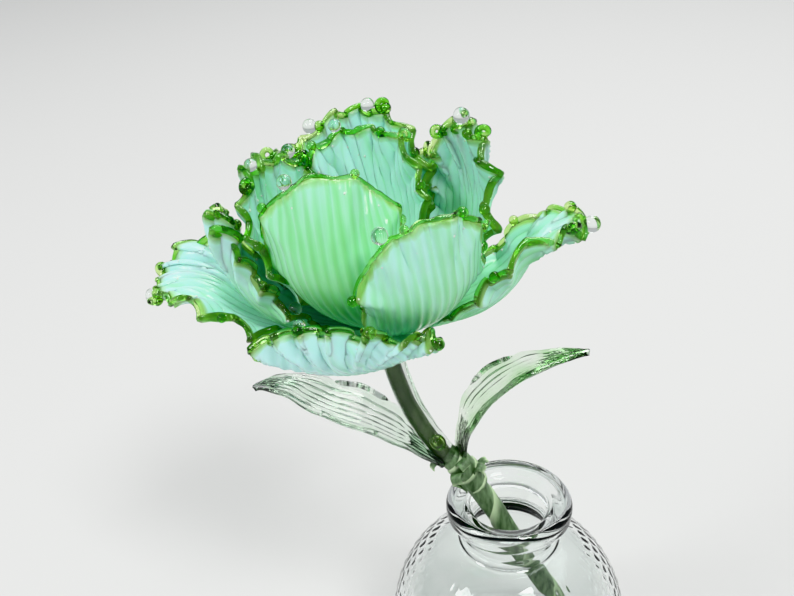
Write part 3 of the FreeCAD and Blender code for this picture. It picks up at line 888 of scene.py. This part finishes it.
# %% Wire and tape
TAPE_STEP = 0.34
TAPE_CREASE = 0.16
bm = bmesh.new()
ends = [wire_middle - slide * (wire_half - 0.4), wire_middle, wire_middle + slide * wire_half]
add_rod(bm, smooth_path(ends, 40), lambda u, angle: wire_radius, 20, AWAY)
finish_piece(bm, "stem-wire", "flower", wire_steel, ["lower_stem_wire"])

bm = bmesh.new()
ends = [tape_middle - slide * tape_half, tape_middle, tape_middle + slide * tape_half]
add_wrapped(bm, smooth_path(ends, 230), lambda u: tape_radius - 0.28, TAPE_TURNS, TAPE_STEP,
            TAPE_CREASE, 3.0)
finish_piece(bm, "stem-tape", "flower", tape_green, ["lower_stem_tape"])
print("wire and tape done")

# %% Binding round the leaves
BINDING_TURNS = 3.1
BINDING_STEP = 0.42
BINDING_CREASE = 0.40
STRAIGHT_TOP = 83.0
BINDING_TOP = Vector((-16.3, 2.8, 89.9))
BINDING_PATH = [on_stem(76.4), on_stem(79.8), on_stem(STRAIGHT_TOP), Vector((-13.6, 2.8, 86.6)),
                BINDING_TOP]
BINDING_RADII = (3.1, 3.4, 3.5, 3.7, 3.6, 3.3)
bm = bmesh.new()
add_wrapped(bm, smooth_path(BINDING_PATH, 90), lambda u: between(BINDING_RADII, u) - 0.3,
            BINDING_TURNS, BINDING_STEP, BINDING_CREASE, 9.0, 64)
finish_piece(bm, "leaf-binding", "flower", tape_green, ["leaf_binding_tape"])
print("binding turns:", BINDING_TURNS)

# %% [markdown]
# ## Loose tape ends
# Where the strip is torn off, its ends curl away from the stem. Each is a small strip that starts
# under the wrap and rolls outwards: a grid bent along its length, with a little thickness.

# %% Curled ends
BINDING_BEND_HEIGHT = 6.9
# Height on the stem, degrees round it, length, width, how far it rolls in degrees.
TAPE_ENDS = ((78.5, 185, 4.6, 4.0, 60), (84.5, 250, 5.2, 3.6, 210), (87.0, 300, 5.0, 3.4, 240),
             (83.0, 330, 4.2, 3.2, 190), (88.0, 200, 4.4, 3.0, 170), (81.0, 20, 4.0, 3.4, 130))
bm = bmesh.new()
for height, degrees, length, width, rolled in TAPE_ENDS:
    turn = math.radians(degrees)
    base = on_stem(min(height, STRAIGHT_TOP))
    if height > STRAIGHT_TOP:
        share = (height - STRAIGHT_TOP) / BINDING_BEND_HEIGHT
        base = base + (BINDING_TOP - base) * share
    across = AWAY.cross(slide)
    out = (across * math.cos(turn) + AWAY * math.sin(turn)).normalized()
    over = slide.cross(out)

    def place(u, v):
        a = math.radians(rolled) * u
        bend = length / math.radians(rolled)
        span = width * (v - 0.5) * (1 - 0.25 * u)
        crinkle = 0.3 * wobble(u * 4, v * 4, degrees)
        return (base + out * (3.0 + bend * (1 - math.cos(a)) + crinkle)
                + slide * (bend * math.sin(a)) + over * span) * MM

    add_grid(bm, 18, 12, place, "wraps")
flaps = finish_piece(bm, "curled-tape-ends", "flower", tape_green, [])
wall = flaps.modifiers.new("thickness", "SOLIDIFY")
wall.thickness = 0.35 * MM
wall.offset = 0
print("loose tape ends:", len(TAPE_ENDS))

# %% [markdown]
# ## Bottle
# The bottle is pressed glass: a ball body with a thick floor, a short neck and a heavy rolled
# lip. Its wall is drawn as one closed half profile, out along the outside and back along the
# bore, and turned round the axis. The mould leaves staggered rows of small raised dashes on the
# shoulder, round a plain oval on each side. They are raised in the mesh, along the profile's own
# normal.

# %% Half profile of the bottle
bottle_low, bottle_high = [Vector(corner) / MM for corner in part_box("bottle")]
BODY_RADIUS = bottle_high.x
BODY_CENTRE = 34.0
WALL = 2.8
NECK_ARC = 3.2
LIP_ARC = 2.6
BORE = 10.2


def sphere_height(radius, across):
    """Height of the ball's surface at a distance from the axis."""
    return BODY_CENTRE + math.sqrt(radius ** 2 - across ** 2)


def upright_arc(run, rise):
    """Radius of an arc that ends upright after this run and rise."""
    return (run ** 2 + rise ** 2) / (2 * run)


INNER = BODY_RADIUS - WALL
# Distance from the axis, height, radius of the arc that leaves this corner, its bulging side.
PROFILE = (
    (0, 0, None, 0), (24.5, 0, upright_arc(7.5, 9), -1), (BODY_RADIUS, 9, None, 0),
    (BODY_RADIUS, BODY_CENTRE, BODY_RADIUS, -1),
    (14.4, sphere_height(BODY_RADIUS, 14.4), NECK_ARC, 1), (13, 65.2, None, 0), (13, 68.6, None, 0),
    (15.4, 70, LIP_ARC, -1), (16.5, 72.8, LIP_ARC, -1), (15, bottle_high.z, None, 0),
    (11, 74.2, 1.1, 1), (BORE, 73.2, None, 0), (BORE, 63.6, 4.0, 1),
    (12, sphere_height(INNER, 12), INNER, 1), (INNER, BODY_CENTRE, None, 0),
    (INNER, 14, upright_arc(INNER - 23, 8), 1), (23, 6, None, 0), (0, 6, None, 0),
)
print("corners of the half profile:", len(PROFILE))

# %% Points along the profile
PROFILE_STEP = 0.55


def profile_run(start, end, radius, side):
    """Points from one corner up to, but not including, the next."""
    a, b = Vector(start), Vector(end)
    chord = b - a
    if radius is None:
        count = max(1, round(chord.length / PROFILE_STEP))
        return [a.lerp(b, i / count) for i in range(count)]
    left = Vector((-chord.y, chord.x)).normalized()
    half = chord.length / 2
    centre = (a + b) / 2 - left * (side * math.sqrt(max(radius ** 2 - half ** 2, 0)))
    swept = -side * 2 * math.asin(min(half / radius, 1.0))
    count = max(4, round(abs(swept) * radius / PROFILE_STEP))
    made = []
    for i in range(count):
        c, s = math.cos(swept * i / count), math.sin(swept * i / count)
        x, y = a - centre
        made.append(centre + Vector((c * x - s * y, s * x + c * y)))
    return made


profile = []
for (x, z, radius, side), (x2, z2, _, _) in zip(PROFILE, PROFILE[1:]):
    profile += profile_run((x, z), (x2, z2), radius, side)
profile.append(Vector(PROFILE[-1][:2]))
outside_count = next(i for i, point in enumerate(profile) if point.y >= bottle_high.z - 1e-6)
print("profile points:", len(profile))

# %% Raised dashes
# The oval is left plain, but for a thin raised line just inside its edge.
DASH_ROWS = 9
DASH_TOP = 59.5
DASH_PITCH = 2.9
DASH_COUNT = 52
DASH_HEIGHT = 0.13
OVAL_HALF_ANGLE = 1.02
OVAL_MIDDLE = 42.0
OVAL_HALF_HEIGHT = 18.5


def dash_height(angle, z):
    """Height of the moulded pattern at this place on the shoulder."""
    row = (DASH_TOP - z) / DASH_PITCH
    if not 0 <= row < DASH_ROWS:
        return 0.0
    front = angle % math.pi - math.pi / 2
    oval = math.hypot(front / OVAL_HALF_ANGLE, (z - OVAL_MIDDLE) / OVAL_HALF_HEIGHT)
    if oval < 1.0:
        return DASH_HEIGHT * math.exp(-((oval - 0.93) / 0.03) ** 2)
    across = (angle / (2 * math.pi) * DASH_COUNT + 0.5 * (int(row) % 2)) % 1 - 0.5
    along = row % 1 - 0.5
    bead = (abs(across) / 0.26) ** 2.2 + (abs(along) / 0.42) ** 2.2
    return DASH_HEIGHT * max(0.0, 1 - bead) ** 0.6


print("dashes:", DASH_ROWS, "rows of", DASH_COUNT)

# %% Bottle mesh
BOTTLE_AROUND = 244


def bottle_place(u, v):
    i = min(round(u * (len(profile) - 1)), len(profile) - 1)
    radius, z = profile[i]
    angle = 2 * math.pi * v
    if 0 < i < outside_count:
        ahead = (profile[i + 1] - profile[i - 1]).normalized()
        raised = dash_height(angle, z)
        radius += ahead.y * raised
        z -= ahead.x * raised
    return Vector((radius * math.cos(angle), radius * math.sin(angle), z)) * MM


bm = bmesh.new()
add_grid(bm, len(profile) - 1, BOTTLE_AROUND, bottle_place)
finish_piece(bm, "glass-bottle", "vase", bottle_glass, ["bottle"])
print("bottle done")

# %% [markdown]
# ## Floor, light and camera
# A pale floor and large soft lights suit glass: what it shows is mostly what stands round it. A
# broad light behind and above comes through the petals and makes them glow, and two smaller ones,
# at the left and in front, draw the bright lines along the rims and the bottle. The colours are
# shown with a neutral view transform, because the usual filmic one would grey the greens.

# %% Floor
FLOOR_HALF_SIZE = 3.0
FLOOR_GAP = 0.0005
bm = bmesh.new()
bmesh.ops.create_grid(bm, x_segments=2, y_segments=2, size=FLOOR_HALF_SIZE,
                      matrix=Matrix.Translation((0, 0, -FLOOR_GAP)))
floor_mesh = bpy.data.meshes.new("floor")
bm.to_mesh(floor_mesh)
bm.free()
floor = bpy.data.objects.new("floor", floor_mesh)
bpy.context.collection.objects.link(floor)
paper = bpy.data.materials.new("pale floor")
paper.use_nodes = True
paper_shader = paper.node_tree.nodes["Principled BSDF"]
paper_shader.inputs["Base Color"].default_value = (0.55, 0.55, 0.54, 1)
paper_shader.inputs["Roughness"].default_value = 0.7
floor_mesh.materials.append(paper)
print("floor is", 2 * FLOOR_HALF_SIZE, "m across")

# %% Studio light
world = bpy.data.worlds.new("studio")
bpy.context.scene.world = world
world.use_nodes = True
sky = world.node_tree.nodes["Background"]
sky.inputs["Color"].default_value = (0.80, 0.82, 0.84, 1)
sky.inputs["Strength"].default_value = 0.60
bloom = HEART * MM + AXIS * 0.03


def soft_light(name, where, size, power):
    """A square area light, size in metres and power in watts, that faces the bloom."""
    data = bpy.data.lights.new(name, "AREA")
    data.size = size
    data.energy = power
    light = bpy.data.objects.new(name, data)
    light.location = where
    light.rotation_euler = (bloom - Vector(where)).to_track_quat("-Z", "Y").to_euler()
    bpy.context.collection.objects.link(light)


soft_light("high back light", (0.30, 0.70, 1.50), 0.80, 19)
soft_light("left light", (-1.20, -0.50, 1.00), 0.44, 9)
soft_light("high front light", (0.50, -0.90, 1.50), 0.44, 15)
print("lights stand round the bloom at", [round(value, 3) for value in bloom])

# %% Camera
CAMERA_LENS = 45.34
CAMERA_PLACE = (-0.0268, -0.2026, 0.2524)
CAMERA_TILT = math.radians(90 - 29.54)
CAMERA_ROLL = math.radians(-2.92)
camera_data = bpy.data.cameras.new("camera")
camera_data.lens = CAMERA_LENS
camera_data.sensor_width = 36
camera = bpy.data.objects.new("camera", camera_data)
bpy.context.collection.objects.link(camera)
turned = Matrix.Rotation(CAMERA_TILT, 4, "X") @ Matrix.Rotation(CAMERA_ROLL, 4, "Z")
camera.matrix_world = Matrix.Translation(CAMERA_PLACE) @ turned
camera_data.clip_start = 0.01
bpy.context.scene.camera = camera
bpy.context.scene.view_settings.view_transform = "Khronos PBR Neutral"
print("camera at", [round(value, 3) for value in camera.location])
